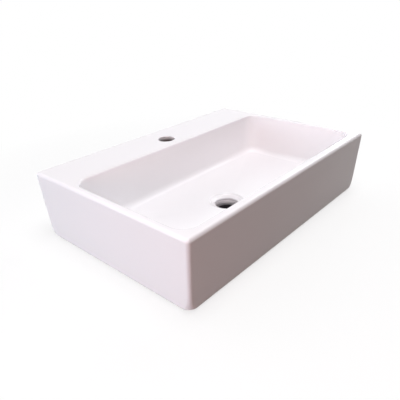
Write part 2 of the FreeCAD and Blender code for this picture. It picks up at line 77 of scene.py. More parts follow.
class Slot(Enum):
    """Material slots of the record."""

    CHINA = "china"
    RING = "white_ring"
    CHROME = "chrome"
    NUT = "nut_chrome"
    RUBBER = "rubber"
    WASHER = "washer_plastic"


def operation(kind: str, swapped: bool = False) -> Callable[["Signal", Operand], "Signal"]:
    """Make a method that sends a signal and another operand through a Math node.

    Args:
        kind: the node's operation.
        swapped: put the other operand first.

    Returns:
        The method.
    """

    def method(signal: "Signal", other: Operand = 0.0) -> "Signal":
        """Add the node."""
        pair = (other, signal) if swapped else (signal, other)
        return signal.recipe.add("ShaderNodeMath", dict(enumerate(pair)), operation=kind)

    return method


class Signal:
    """The output of a node, with the arithmetic that formulas on it need."""

    __add__ = __radd__ = operation("ADD")
    __sub__ = operation("SUBTRACT")
    __rsub__ = operation("SUBTRACT", swapped=True)
    __mul__ = operation("MULTIPLY")
    __truediv__ = operation("DIVIDE")
    __abs__ = operation("ABSOLUTE")
    at_most = operation("MINIMUM")
    at_least = operation("MAXIMUM")

    def __init__(self, recipe: "Recipe", socket: bpy.types.NodeSocket) -> None:
        """Keep the socket and the recipe that adds nodes behind it."""
        self.recipe = recipe
        self.socket = socket

    def clamped(self) -> "Signal":
        """This, held between 0 and 1."""
        inputs = {0: self, 1: 0.0}
        return self.recipe.add("ShaderNodeMath", inputs, operation="ADD", use_clamp=True)

    def past(self, level: Operand, softness: float) -> "Signal":
        """A mask of 0 below the level and 1 above it, with a step as long as the softness."""
        return ((self - level) / softness + 0.5).clamped()


class Recipe:
    """Adds nodes to one tree and links them."""

    def __init__(self, tree: bpy.types.NodeTree) -> None:
        """Start with the tree that the nodes go to."""
        self.tree = tree

    @classmethod
    def cleared(cls, owner: Union[bpy.types.Material, bpy.types.World]) -> "Recipe":
        """Start on the emptied tree of a material or a world.

        Args:
            owner: the material or the world.

        Returns:
            The recipe.
        """
        owner.use_nodes = True
        owner.node_tree.nodes.clear()
        return cls(owner.node_tree)

    def add(
        self,
        kind: str,
        inputs: Optional[Mapping[Key, Any]] = None,
        output: Key = 0,
        **settings: Any,
    ) -> Optional[Signal]:
        """Add one node.

        Args:
            kind: the node's type.
            inputs: values or signals, by the socket's name, identifier or index.
            output: the output that is wanted, in the same way.
            settings: the node's own properties.

        Returns:
            That output, or nothing where the node has none.
        """
        node = self.tree.nodes.new(kind)
        for name, setting in settings.items():
            setattr(node, name, setting)
        for key, value in (inputs or {}).items():
            socket = self._socket(node.inputs, key)
            if isinstance(value, Signal):
                self.tree.links.new(value.socket, socket)
            else:
                socket.default_value = value
        return Signal(self, self._socket(node.outputs, output)) if node.outputs else None

    @staticmethod
    def _socket(sockets: Any, key: Key) -> bpy.types.NodeSocket:
        """Find a socket.

        Args:
            sockets: a node's inputs or outputs.
            key: the socket's index, identifier or name.

        Returns:
            The socket.
        """
        if isinstance(key, int):
            return sockets[key]
        named = [socket for socket in sockets if socket.identifier == key]
        return named[0] if named else sockets[key]

    def mix(self, factor: Operand, first: Tint, second: Tint) -> Signal:
        """Blend two colours.

        Args:
            factor: the share of the second.
            first: colour where the factor is 0.
            second: colour where it is 1.

        Returns:
            The blended colour.
        """
        ends = [end if isinstance(end, Signal) else (*end, 1.0) for end in (first, second)]
        inputs = {"Factor_Float": factor, "A_Color": ends[0], "B_Color": ends[1]}
        return self.add("ShaderNodeMix", inputs, "Result_Color", data_type="RGBA")

    def noise(self, place: Signal, scale: float, detail: float = 2.0) -> Signal:
        """Even noise from 0 to 1, with so many waves to a metre."""
        inputs = {"Vector": place, "Scale": scale, "Detail": detail}
        return self.add("ShaderNodeTexNoise", inputs, "Fac")

    def parts(self, vector: Signal) -> tuple[Signal, Signal, Signal]:
        """The three numbers of a vector."""
        node = self.add("ShaderNodeSeparateXYZ", {0: vector}).socket.node
        return tuple(Signal(self, output) for output in node.outputs)

    def joined(self, across: Operand, along: Operand, up: Operand) -> Signal:
        """A vector of three numbers."""
        return self.add("ShaderNodeCombineXYZ", {0: across, 1: along, 2: up})

    def reach(self, across: Operand, along: Operand) -> Signal:
        """The length of a level vector."""
        level = self.joined(across, along, 0.0)
        return self.add("ShaderNodeVectorMath", {0: level}, "Value", operation="LENGTH")

    def bump(self, height: Signal) -> Signal:
        """A normal from a height in metres."""
        inputs = {"Strength": 1.0, "Distance": 1.0, "Height": height}
        return self.add("ShaderNodeBump", inputs, "Normal")


@dataclass(frozen=True)
class Finish:
    """A material of nodes on object coordinates, whose tone and gloss change in soft clouds."""

    name: str
    slot: Slot
    colour: Colour
    clouded: Colour
    roughness: float
    clouded_roughness: float
    cloud_scale: float
    cloud_detail: float = 2.0
    metallic: float = 0.0
    refraction: float = 1.5

    def material(self) -> bpy.types.Material:
        """Build the material.

        Returns:
            The new material, with its surface linked.
        """
        material = bpy.data.materials.new(self.name)
        recipe = Recipe.cleared(material)
        place = recipe.add("ShaderNodeTexCoord", output="Object")
        surface = recipe.add("ShaderNodeBsdfPrincipled", self.surface(recipe, place), "BSDF")
        recipe.add("ShaderNodeOutputMaterial", {"Surface": surface})
        return material

    def relief(self, recipe: Recipe, place: Signal) -> Signal:
        """Height of the surface's fine forms, which each kind of finish has its own of."""
        raise NotImplementedError

    def surface(self, recipe: Recipe, place: Signal) -> Look:
        """Make the look of the surface.

        Args:
            recipe: the material's nodes.
            place: object coordinates.

        Returns:
            Values and links, by the names of the shader's sockets.
        """
        clouds = recipe.noise(place, self.cloud_scale, self.cloud_detail)
        return {
            "Base Color": recipe.mix(clouds, self.colour, self.clouded),
            "Metallic": self.metallic,
            "Roughness": self.roughness + clouds * (self.clouded_roughness - self.roughness),
            "IOR": self.refraction,
            "Normal": recipe.bump(self.relief(recipe, place)),
        }

    def lay_over(
        self, look: Look, mask: Signal, colour: Colour, roughness: Optional[float] = None
    ) -> None:
        """Lay another tone and gloss over part of the surface.

        Args:
            look: the surface's values and links, which are changed.
            mask: 1 on that part and 0 elsewhere.
            colour: its colour there.
            roughness: its roughness there, if it is another one.
        """
        look["Base Color"] = mask.recipe.mix(mask, look["Base Color"], colour)
        if roughness is not None:
            look["Roughness"] = look["Roughness"] + mask * (roughness - self.roughness)


@dataclass(frozen=True)
class Glaze(Finish):
    """Fired white glaze: glossy, a little uneven, and a little deeper in tone where it pooled."""

    colour: Colour = (0.965, 0.940, 0.960)
    clouded: Colour = (0.958, 0.932, 0.953)
    roughness: float = 0.07
    clouded_roughness: float = 0.11
    cloud_scale: float = 9.0
    ripple_scale: float = 5.5
    ripple_height: float = 0.00022
    peel_scale: float = 210.0
    peel_height: float = 0.0000025
    relief_detail: float = 1.0

    def relief(self, recipe: Recipe, place: Signal) -> Signal:
        """Long soft ripples with a fine peel on them."""
        ripple = recipe.noise(place, self.ripple_scale, self.relief_detail) * self.ripple_height
        return ripple + recipe.noise(place, self.peel_scale, self.relief_detail) * self.peel_height


@dataclass(frozen=True)
class BasinGlaze(Glaze):
    """The basin's glaze: thinner on the hollow underside, with painted shade on its top, in the
    hollows and down the tap hole, and none on the foot.
    """

    bare: Colour = (0.74, 0.70, 0.63)
    # thin_and_shaded: thinner glaze on the hollow underside, darkened further as painted shade in
    # the hollows.
    thin_and_shaded: Colour = (0.52, 0.48, 0.46)
    # bore: painted shade, a dark grey-brown down the tap hole's bore.
    bore: Colour = (0.27, 0.22, 0.225)
    # brim: painted shade, a greyer tone on the basin's top that holds back its brightness under the
    # lamps.
    brim: Colour = (0.922, 0.893, 0.920)
    bare_roughness: float = 0.75
    thin_roughness: float = 0.32
    tap_axis: float = -0.03625
    tap_bore: float = 0.0183
    brim_shade_line: float = 0.1265
    brim_shade_softness: float = 0.004
    bore_shade_line: float = 0.1230
    bore_shade_softness: float = 0.005
    foot_line: float = 0.0012
    line_softness: float = 0.0008
    line_wander: float = 0.0011
    wander_scale: float = 45.0
    grain_scale: float = 1500.0
    grain_detail: float = 3.0
    grain_height: float = 0.00003
    wall_depth: float = 0.0108
    foot_depth: float = 0.022
    roof_height: float = 0.1185
    recess_height: float = 0.0128
    ledge_start: float = -0.0715
    side: float = 0.275
    front: float = -0.35525
    rear: float = 0.02475

    def hidden(self, recipe: Recipe, place: Signal) -> Signal:
        """Find the hollows below.

        Args:
            recipe: the material's nodes.
            place: object coordinates.

        Returns:
            1 in the recess inside the foot and in the hollow under the ledge, and 0 elsewhere.
        """
        soft = self.line_softness
        across, along, up = recipe.parts(place)
        depth_in_ends = (along - self.front).at_most(self.rear - along)
        depth = (self.side - abs(across)).at_most(depth_in_ends)
        above_floor = up.past(self.recess_height, soft)
        in_recess = depth.past(self.foot_depth, soft) * (1.0 - above_floor)
        below_ledge = (1.0 - up.past(self.roof_height, soft)) * along.past(self.ledge_start, soft)
        return in_recess.at_least(depth.past(self.wall_depth, soft) * above_floor * below_ledge)

    def surface(self, recipe: Recipe, place: Signal) -> Look:
        """Add painted shade on the top, thinner glaze with painted shade in the hollows, painted
        shade down the tap hole, and the bare foot to the look of the glaze.

        Args:
            recipe: the material's nodes.
            place: object coordinates.

        Returns:
            Values and links, by the names of the shader's sockets.
        """
        look = super().surface(recipe, place)
        across, along, up = recipe.parts(place)
        from_tap = recipe.reach(across, along - self.tap_axis)
        below_brim = 1.0 - up.past(self.bore_shade_line, self.bore_shade_softness)
        in_shaded_bore = (1.0 - from_tap.past(self.tap_bore, self.line_softness)) * below_brim
        wander = (recipe.noise(place, self.wander_scale) - 0.5) * self.line_wander
        foot = 1.0 - up.past(self.foot_line + wander, self.line_softness)
        grain = recipe.noise(place, self.grain_scale, self.grain_detail) * self.grain_height * foot
        # Painted shade: the basin's top, above the brim shade line, takes the greyer brim tone.
        self.lay_over(look, up.past(self.brim_shade_line, self.brim_shade_softness), self.brim)
        # Thinner, rougher glaze in the hollows, with painted shade darkening them.
        self.lay_over(look, self.hidden(recipe, place), self.thin_and_shaded, self.thin_roughness)
        # Painted shade down the tap hole's bore, below the bore shade line.
        self.lay_over(look, in_shaded_bore, self.bore)
        self.lay_over(look, foot, self.bare, self.bare_roughness)
        look["Normal"] = recipe.bump(self.relief(recipe, place) + grain)
        return look


@dataclass(frozen=True)
class Plating(Finish):
    """Chromium plate, bright or satin, with faint wipe marks round the drain's axis."""

    colour: Colour = (0.76, 0.76, 0.78)
    clouded: Colour = (0.70, 0.70, 0.72)
    roughness: float = 0.10
    clouded_roughness: float = 0.24
    cloud_scale: float = 60.0
    cloud_detail: float = 4.0
    metallic: float = 1.0
    turning_scale: float = 900.0
    turning_height: float = 0.0000012

    def relief(self, recipe: Recipe, place: Signal) -> Signal:
        """Marks that change with the height only."""
        level = recipe.joined(0.0, 0.0, recipe.parts(place)[2])
        return recipe.noise(level, self.turning_scale) * self.turning_height


@dataclass(frozen=True)
class WastePlating(Plating):
    """Chromium plate, dulled in the funnel under the ring and darkened there with painted shade; the
    unplated bore below it is painted near-black as shade.
    """

    bore_radius: float = 0.0198
    dark_bore_top: float = 0.0116
    line_softness: float = 0.0006
    drain: float = -0.20025
    funnel_radius: float = 0.0245
    tube_end: float = -0.0345
    # dull_and_shaded: satin, dulled plating in the funnel, its colour darkened further as painted
    # shade.
    dull_and_shaded: Colour = (0.52, 0.49, 0.50)
    worn_roughness: float = 0.44
    # bare: the unplated bore below the funnel, painted near-black as shade.
    bare: Colour = (0.030, 0.024, 0.030)
    bare_roughness: float = 0.62

    def surface(self, recipe: Recipe, place: Signal) -> Look:
        """Add the dull funnel with its painted shade and the bore's near-black painted shade to the
        look of the plating.

        Args:
            recipe: the material's nodes.
            place: object coordinates.

        Returns:
            Values and links, by the names of the shader's sockets.
        """
        look = super().surface(recipe, place)
        across, along, up = recipe.parts(place)
        radius = recipe.reach(across, along - self.drain)
        above_dark_bore = up.past(self.dark_bore_top, self.line_softness)
        in_shaded_bore = 1.0 - radius.past(self.bore_radius, self.line_softness)
        in_funnel = 1.0 - radius.past(self.funnel_radius, self.line_softness)
        bare = in_shaded_bore * (1.0 - above_dark_bore) * up.past(self.tube_end, self.line_softness)
        # Dull satin plating in the funnel, with painted shade darkening its colour.
        self.lay_over(look, in_funnel * above_dark_bore, self.dull_and_shaded, self.worn_roughness)
        # Painted shade: the unplated bore below the funnel is laid over with near-black and made
        # non-metallic.
        self.lay_over(look, bare, self.bare, self.bare_roughness)
        look["Metallic"] = 1.0 - bare
        return look


@dataclass(frozen=True)
class Moulded(Finish):
    """Rubber or plastic from a mould: even colour, fine grain and no gloss."""

    cloud_scale: float = 80.0
    cloud_detail: float = 3.0
    grain_scale: float = 1400.0
    grain_height: float = 0.00002

    def relief(self, recipe: Recipe, place: Signal) -> Signal:
        """An even grain."""
        return recipe.noise(place, self.grain_scale) * self.grain_height


@dataclass(frozen=True)
class Outline:
    """A level rectangle with round corners, about the middle line X = 0."""

    half_width: float
    front: float
    rear: float
    corner: float

    def grown(self, by: float) -> "Outline":
        """The outline moved outwards all round."""
        return Outline(self.half_width + by, self.front - by, self.rear + by, self.corner + by)


@dataclass(frozen=True)
class Weave:
    """How many points each stretch of an outline has, the same on every ring of a shell."""

    across: int = 96
    along: int = 64
    corner: int = 8

    def ring(self, outline: Outline) -> Loop:
        """Points of an outline in plan, anticlockwise from the right end of its rear side.

        Args:
            outline: the outline.

        Returns:
            An array of one row a point.
        """
        wide = outline.half_width - outline.corner
        near = outline.front + outline.corner
        far = outline.rear - outline.corner
        centres = ((wide, far), (-wide, far), (-wide, near), (wide, near))
        points: list[tuple[float, float]] = []
        for index, (x, y) in enumerate(centres[1:] + centres[:1]):
            from_x, from_y = centres[index]
            turn = math.pi / 2 * (index + 1)
            out = Vector((math.cos(turn), math.sin(turn))) * outline.corner
            steps = self.along if index % 2 else self.across
            for share in (step / steps for step in range(steps)):
                side = (from_x + (x - from_x) * share, from_y + (y - from_y) * share)
                points.append((side[0] + out.x, side[1] + out.y))
            for step in range(self.corner):
                angle = turn + math.pi / 2 * step / self.corner
                points.append(
                    (x + outline.corner * math.cos(angle), y + outline.corner * math.sin(angle))
                )
        return np.array(points)


def new_object(name: str, data: Any) -> bpy.types.Object:
    """Put a new object into the scene.

    Args:
        name: its name.
        data: its mesh, camera or light.

    Returns:
        The object.
    """
    thing = bpy.data.objects.new(name, data)
    bpy.context.scene.collection.objects.link(thing)
    return thing


class Shell:
    """Rings of points, joined one to the next by four-sided faces."""

    def __init__(self) -> None:
        """Start with no points."""
        self.mesh = bmesh.new()
        self.rings: list[Verts] = []

    def ring(self, plan: Loop, height: float) -> Verts:
        """Add a level ring of points, and return its vertices."""
        self.rings.append([self.mesh.verts.new((x, y, height)) for x, y in plan])
        return self.rings[-1]

    def join(self, inner: Verts, outer: Verts, skip: Sequence[int] = ()) -> None:
        """Join two rings by faces.

        Args:
            inner: one ring.
            outer: the next one.
            skip: the columns that stay open.
        """
        for place in range(len(inner)):
            if place not in skip:
                after = (place + 1) % len(inner)
                self.mesh.faces.new((inner[place], outer[place], outer[after], inner[after]))

    def join_all(self, closed: bool = False) -> None:
        """Join each ring to the next, and in a closed shell the last one to the first."""
        for inner, outer in zip(self.rings, self.rings[1:] + self.rings[:closed]):
            self.join(inner, outer)

    def cap(self, verts: Verts) -> None:
        """Close a ring with one flat face."""
        self.mesh.faces.new(verts)

    def done(self, name: str) -> bpy.types.Object:
        """Make the object.

        Args:
            name: its name.

        Returns:
            The object, smooth-shaded and with its faces pointing outwards.
        """
        bmesh.ops.recalc_face_normals(self.mesh, faces=self.mesh.faces[:])
        data = bpy.data.meshes.new(name)
        self.mesh.to_mesh(data)
        self.mesh.free()
        data.shade_smooth()
        return new_object(name, data)


def quarter(steps: int, first: int = 0) -> list[tuple[float, float]]:
    """Sines and cosines from 0 to a quarter turn, from the first step on."""
    angles = [math.pi / 2 * step / steps for step in range(first, steps + 1)]
    return [(math.sin(angle), math.cos(angle)) for angle in angles]


def circle(count: int, start: float = 0.0) -> Loop:
    """Points of a circle of radius 1, from a start angle on."""
    turns = start + 2 * math.pi * np.arange(count) / count
    return np.stack((np.cos(turns), np.sin(turns)), axis=1)


def eased(share: float, softness: float) -> float:
    """A share from 0 to 1 with a slower start and end: 0 softness is even, 1 is level at both."""
    return share + (share * share * (3.0 - 2.0 * share) - share) * softness


def apply_modifiers(thing: bpy.types.Object) -> None:
    """Turn an object and its modifiers into one plain mesh.

    Args:
        thing: the object, whose mesh is replaced.
    """
    graph = bpy.context.evaluated_depsgraph_get()
    result = bpy.data.meshes.new_from_object(
        thing.evaluated_get(graph), preserve_all_data_layers=True, depsgraph=graph
    )
    old = thing.data
    thing.modifiers.clear()
    thing.data = result
    bpy.data.meshes.remove(old)
    result.name = thing.name


def smooth_by_area(thing: bpy.types.Object) -> None:
    """Shade smoothly, so that large flat faces stay flat and sharp edges stay sharp.

    Args:
        thing: the object, whose mesh is replaced.
    """
    thing.data.shade_smooth()
    thing.data.set_sharp_from_angle(angle=math.radians(SHARP_DEGREES))
    modifier = thing.modifiers.new("by_area", "WEIGHTED_NORMAL")
    modifier.keep_sharp = True
    apply_modifiers(thing)


def run_geometry_tree(
    thing: bpy.types.Object,
    name: str,
    values: Mapping[str, float],
    build: Callable[[Recipe, Mapping[str, Signal]], Signal],
) -> None:
    """Make a geometry tree, run it on the object and keep the result as its mesh.

    Args:
        thing: the object.
        name: the tree's name.
        values: the numbers that the tree takes in, by name.
        build: adds the nodes between the tree's inputs and the geometry that it returns.
    """
    tree = bpy.data.node_groups.new(name, "GeometryNodeTree")
    kinds = {"Geometry": "Geometry", **dict.fromkeys(values, "Float"), "Material": "Material"}
    sockets = {
        label: tree.interface.new_socket(label, in_out="INPUT", socket_type=f"NodeSocket{kind}")
        for label, kind in kinds.items()
    }
    tree.interface.new_socket("Geometry", in_out="OUTPUT", socket_type="NodeSocketGeometry")
    recipe = Recipe(tree)
    outputs = tree.nodes.new("NodeGroupInput").outputs
    inputs = {label: Signal(recipe, outputs[label]) for label in kinds}
    real = recipe.add("GeometryNodeRealizeInstances", {"Geometry": build(recipe, inputs)})
    look = {"Geometry": real, "Material": inputs["Material"]}
    recipe.add("NodeGroupOutput", {0: recipe.add("GeometryNodeSetMaterial", look)})
    modifier = thing.modifiers.new(name, "NODES")
    modifier.node_group = tree
    for label, value in values.items():
        modifier[sockets[label].identifier] = value
    modifier[sockets["Material"].identifier] = thing.active_material
    apply_modifiers(thing)


@dataclass(frozen=True)
class KilnSag:
    """The small drop and inward bow that long flat walls of china take in the kiln."""

    bow: float = 0.0006
    dip: float = 0.0004
    waver: float = 0.0002
    waver_scale: float = 6.0
    waver_detail: float = 1.0
    seed: float = 3.0
    still_radius: float = 0.045
    still_softness: float = 0.02

    def moved(self, recipe: Recipe, inputs: Mapping[str, Signal]) -> Signal:
        """Add the nodes that move the points.

        Args:
            recipe: the geometry tree.
            inputs: its inputs by name.

        Returns:
            The moved geometry.
        """
        place = recipe.add("GeometryNodeInputPosition")
        across, along, up = recipe.parts(place)
        lengthwise = across / inputs["Half width"]
        crosswise = (along - inputs["Middle"]) / inputs["Half depth"]
        arch = 1.0 - lengthwise * lengthwise
        cross_arch = (1.0 - crosswise * crosswise).clamped()
        risen = up / inputs["Height"]
        from_drain = recipe.reach(across, along - inputs["Drain"])
        free = from_drain.past(self.still_radius, self.still_softness)
        bow = inputs["Bow"] * risen * free * -1.0
        dip = inputs["Dip"] * risen * free * arch * cross_arch * -1.0
        shift = recipe.joined(bow * lengthwise * cross_arch, bow * crosswise * arch, dip)
        waves = {"Scale": self.waver_scale, "Detail": self.waver_detail}
        waves |= {"Vector": place, "W": inputs["Seed"]}
        wave = recipe.add("ShaderNodeTexNoise", waves, "Fac", noise_dimensions="4D")
        reach = wave * free * inputs["Waver"] * -1.0
        normal = recipe.add("GeometryNodeInputNormal")
        vector_math = "ShaderNodeVectorMath"
        inward = recipe.add(vector_math, {0: normal, "Scale": reach}, operation="SCALE")
        offset = recipe.add(vector_math, {0: shift, 1: inward}, operation="ADD")
        target = {"Geometry": inputs["Geometry"], "Offset": offset}
        return recipe.add("GeometryNodeSetPosition", target)

    def apply_to(self, thing: bpy.types.Object, low: Vector, high: Vector, drain: float) -> None:
        """Sag the object.

        Args:
            thing: the object, whose mesh is changed.
            low: its lowest corner.
            high: its highest corner.
            drain: place of the drain along Y, where nothing moves.
        """
        values = {
            "Half width": high.x,
            "Half depth": (high.y - low.y) / 2,
            "Middle": (high.y + low.y) / 2,
            "Height": high.z,
            "Drain": drain,
            "Bow": self.bow,
            "Dip": self.dip,
            "Waver": self.waver,
            "Seed": self.seed,
        }
        run_geometry_tree(thing, "kiln_sag", values, self.moved)


@dataclass(frozen=True)
class Basin:
    """The china body: leaning walls, tap ledge, bowl, drain seat, foot band and hollows below."""

    low: Vector
    high: Vector
    drain: float
    side_draft: float = 0.004
    front_draft: float = 0.008
    rear_draft: float = 0.010
    corner: float = 0.0066
    foot_corner: float = 0.022
    foot_corner_power: float = 16.0
    rim_edge: float = 0.0062
    foot_edge: float = 0.0070
    ledge: float = 0.100
    side_rim: float = 0.0135
    front_rim: float = 0.0182
    bowl_edge: float = 0.0035
    floor: float = 0.0275
    floor_thickness: float = 0.0155
    floor_rise: float = 0.009
    floor_ease: float = 0.6
    floor_spacing: float = 1.4
    dip: float = 0.0035
    dip_radius: float = 0.0366
    bowl_side_draft: float = 0.009
    bowl_front_draft: float = 0.008
    bowl_rear_draft: float = 0.004
    bowl_corner: float = 0.028
    floor_fillet: float = 0.012
    wall: float = 0.012
    foot_width: float = 0.022
    cavity_corner: float = 0.012
    cavity_start: float = 0.002
    cavity_inset: float = 0.0003
    roof_fillet: float = 0.008
    tap_hole: float = 0.0175
    tap_setback: float = 0.061
    tap_edge: float = 0.0015
    tap_shares: tuple[float, ...] = (0.5, 0.8, 1.0)
    drain_bore: float = 0.023
    seat_depth: float = 0.0076
    seat_bevel: float = 0.0046
    seat_radius: float = 0.0316
    seat_edge: float = 0.0002
    arc_steps: int = 8
    small_arc_steps: int = 4
    fillet_steps: int = 12
    floor_steps: int = 32
    dip_steps: int = 8
    wall_steps: int = 10
    rim_steps: int = 16
    cavity_steps: int = 6
    block: int = 8
    block_start: int = 2
    sag: KilnSag = KilnSag()
    weave: Weave = Weave()
    cavity_weave: Weave = Weave(across=24, along=4, corner=6)

    @property
    def height(self) -> float:
        """From the counter to the rim."""
        return self.high.z

    @property
    def flat_level(self) -> float:
        """Height of the floor round the dip at the drain."""
        return self.floor + self.dip

    @property
    def border_level(self) -> float:
        """Height of the floor at the bowl's walls."""
        return self.flat_level + self.floor_rise

    def lean(self, draft: float, height: float) -> float:
        """How far a wall with this draft has come in at a height, against its widest level."""
        return draft * (self.height - self.rim_edge - height) / self.height

    def outside(self, height: float) -> Outline:
        """The outline of the outer walls at a height. Its corners open out just above the foot."""
        fallen = 1.0 - height / self.height
        return Outline(
            self.high.x - self.lean(self.side_draft, height),
            self.low.y + self.lean(self.front_draft, height),
            self.high.y - self.lean(self.rear_draft, height),
            self.corner + (self.foot_corner - self.corner) * fallen**self.foot_corner_power,
        )

    def bowl(self, height: float) -> Outline:
        """Find the outline of the bowl's walls.

        Args:
            height: the level.

        Returns:
            The outline there.
        """
        brim = self.outside(self.height)
        sunk = (self.height - height) / (self.height - self.border_level)
        return Outline(
            brim.half_width - self.side_rim - self.bowl_side_draft * sunk,
            brim.front + self.front_rim + self.bowl_front_draft * sunk,
            brim.rear - self.ledge - self.bowl_rear_draft * sunk,
            self.bowl_corner,
        )

    def recess(self) -> Outline:
        """The outline of the recess inside the foot band."""
        return replace(self.outside(0.0).grown(-self.foot_width), corner=self.cavity_corner)

    def hollow(self, height: float) -> Outline:
        """Find the outline of the hollow under the ledge.

        Args:
            height: the level.

        Returns:
            The outline there.
        """
        foot = self.recess()
        risen = height / (self.height - self.wall)
        travel = self.foot_width - self.wall
        bowl_back = self.bowl(self.border_level).rear + self.wall
        return Outline(
            foot.half_width + (self.side_draft + travel) * risen,
            bowl_back + self.bowl_rear_draft * risen,
            foot.rear + (self.rear_draft + travel) * risen,
            self.cavity_corner,
        )

    def bowl_floor(self) -> Loop:
        """Points of the floor's outline, where the bowl's walls start to round upwards."""
        return self.weave.ring(self.bowl(self.border_level).grown(-self.floor_fillet))

    def round_ring(self, radius: float) -> Loop:
        """Lay a circle about the drain.

        Args:
            radius: the circle's radius.

        Returns:
            Its points, in the directions of the points of the floor's outline.
        """
        centre = np.array((0.0, self.drain))
        out = self.bowl_floor() - centre
        return centre + out / np.linalg.norm(out, axis=1)[:, None] * radius

    def drain_rings(self) -> list[Station]:
        """Rings from the drain's bore over its seat and up the dip.

        Returns:
            The rings.
        """
        seat = self.floor - self.seat_depth
        inner = self.seat_radius + self.seat_edge
        levels = [
            (self.drain_bore, self.floor - self.floor_thickness),
            (self.drain_bore, seat - self.seat_bevel),
            (self.drain_bore + self.seat_bevel, seat),
            (self.seat_radius, seat),
        ]
        for sine, cosine in quarter(self.small_arc_steps):
            radius = self.seat_radius + self.seat_edge * (1.0 - cosine)
            levels.append((radius, self.floor - self.seat_edge * (1.0 - sine)))
        for share in (step / self.dip_steps for step in range(1, self.dip_steps + 1)):
            radius = inner + (self.dip_radius - inner) * share
            levels.append((radius, self.floor + self.dip * eased(share, 1.0)))
        return [(self.round_ring(radius), height) for radius, height in levels]

    def floor_rings(self, start: Loop) -> list[Station]:
        """Rings across the bowl's floor, which slopes down to the drain from all sides.

        Args:
            start: the ring round the drain.

        Returns:
            The rings from there to the foot of the bowl's walls.
        """
        end = self.bowl_floor()
        rings = []
        for step in range(1, self.floor_steps + 1):
            share = (step / self.floor_steps) ** self.floor_spacing
            height = self.flat_level + self.floor_rise * eased(share, self.floor_ease)
            rings.append((start + (end - start) * share, height))
        return rings

    def wall_rings(self, outline: Callable[[float], Outline], levels: Levels) -> list[Station]:
        """Rings at pairs of a height and an inset from the outline that belongs to it."""
        ring = self.weave.ring
        return [(ring(outline(height).grown(-inset)), height) for height, inset in levels]

    def bowl_levels(self) -> Levels:
        """Levels up the bowl's fillet, its wall and its rounded edge.

        Returns:
            Pairs of a height and an inset.
        """
        fillet, edge = self.floor_fillet, self.bowl_edge
        start = self.border_level + fillet
        top = self.height - edge
        levels = [
            (self.border_level + fillet * (1.0 - cosine), fillet * (1.0 - sine))
            for sine, cosine in quarter(self.fillet_steps, first=1)[:-1]
        ]
        for step in range(self.wall_steps):
            levels.append((start + (top - start) * step / self.wall_steps, 0.0))
        for sine, cosine in quarter(self.arc_steps):
            levels.append((top + edge * sine, -edge * (1.0 - cosine)))
        return levels

    def outer_levels(self) -> Levels:
        """Levels down the rim's rounded edge, the outer wall and the foot's rounded edge.

        Returns:
            Pairs of a height and an inset.
        """
        rim, foot = self.rim_edge, self.foot_edge
        arc = quarter(self.arc_steps)
        top = self.height - rim
        levels = [(self.height - rim * (1.0 - cosine), rim * (1.0 - sine)) for sine, cosine in arc]
        for step in range(1, self.wall_steps):
            levels.append((top + (foot - top) * step / self.wall_steps, 0.0))
        return levels + [(foot * (1.0 - sine), foot * (1.0 - cosine)) for sine, cosine in arc]

    def across(self, start: Loop, end: Loop, height: float) -> list[Station]:
        """Level rings between two others."""
        steps = self.rim_steps
        return [(start + (end - start) * step / steps, height) for step in range(1, steps)]

    def stations(self) -> list[Station]:
        """Rings from the drain's bore up over the rim and down to the foot and the recess.

        Returns:
            Pairs of points in plan and their height.
        """
        rings = self.drain_rings()
        bore, underside = rings[0]
        rings += self.floor_rings(rings[-1][0])
        rings += self.wall_rings(self.bowl, self.bowl_levels())
        brim = self.weave.ring(self.outside(self.height).grown(-self.rim_edge))
        rings += self.across(rings[-1][0], brim, self.height)
        rings += self.wall_rings(self.outside, self.outer_levels())
        inner = self.weave.ring(self.recess())
        rings += [(inner, 0.0), (inner, underside)]
        return rings + self.across(inner, bore, underside)

    def make(self) -> bpy.types.Object:
        """Build the basin's mesh.

        Returns:
            The object, without a material.
        """
        shell = Shell()
        stations = self.stations()
        for plan, height in stations:
            shell.ring(plan, height)
        first = self.weave.across // 2 - self.block // 2
        columns = range(first, first + self.block)
        bottom = [height for _, height in stations].index(self.height) + self.block_start
        rows = range(bottom, bottom + self.block)
        following = shell.rings[1:] + shell.rings[:1]
        for index, (inner, outer) in enumerate(zip(shell.rings, following)):
            shell.join(inner, outer, columns if index in rows else ())
        self.bore_tap_hole(shell, bottom, first)
        basin = shell.done("basin_china")
        self.cut_hollow(basin)
        self.sag.apply_to(basin, self.low, self.high, self.drain)
        smooth_by_area(basin)
        return basin

    def bore_tap_hole(self, shell: Shell, bottom: int, first: int) -> None:
        """Fill the block left open in the ledge with the tap hole, and end it in the hollow below.

        Args:
            shell: the basin's rings.
            bottom: the ring along the block's front edge.
            first: the column at the block's right edge.
        """
        size = self.block
        near, far = shell.rings[bottom], shell.rings[bottom + size]
        loop = [shell.rings[bottom + step][first] for step in range(size)]
        loop += [far[first + step] for step in range(size)]
        loop += [shell.rings[bottom + size - step][first + size] for step in range(size)]
        loop += [near[first + size - step] for step in range(size)]
        square = np.array([vert.co[:2] for vert in loop])
        centre = np.array((0.0, self.outside(self.height).rear - self.tap_setback))
        turned = circle(len(loop), -math.pi / 4)
        outermost = self.tap_hole + self.tap_edge
        round_loop = centre + turned * outermost
        rings = [(square + (round_loop - square) * share, self.height) for share in self.tap_shares]
        for sine, cosine in quarter(self.small_arc_steps, first=1):
            plan = centre + turned * (outermost - self.tap_edge * sine)
            rings.append((plan, self.height - self.tap_edge * (1 - cosine)))
        end = self.height - self.wall - self.tap_edge
        rings.append((centre + turned * self.tap_hole, end))
        last = loop
        for plan, height in rings:
            verts = shell.ring(plan, height)
            shell.join(last, verts)
            last = verts
        shell.cap(last)

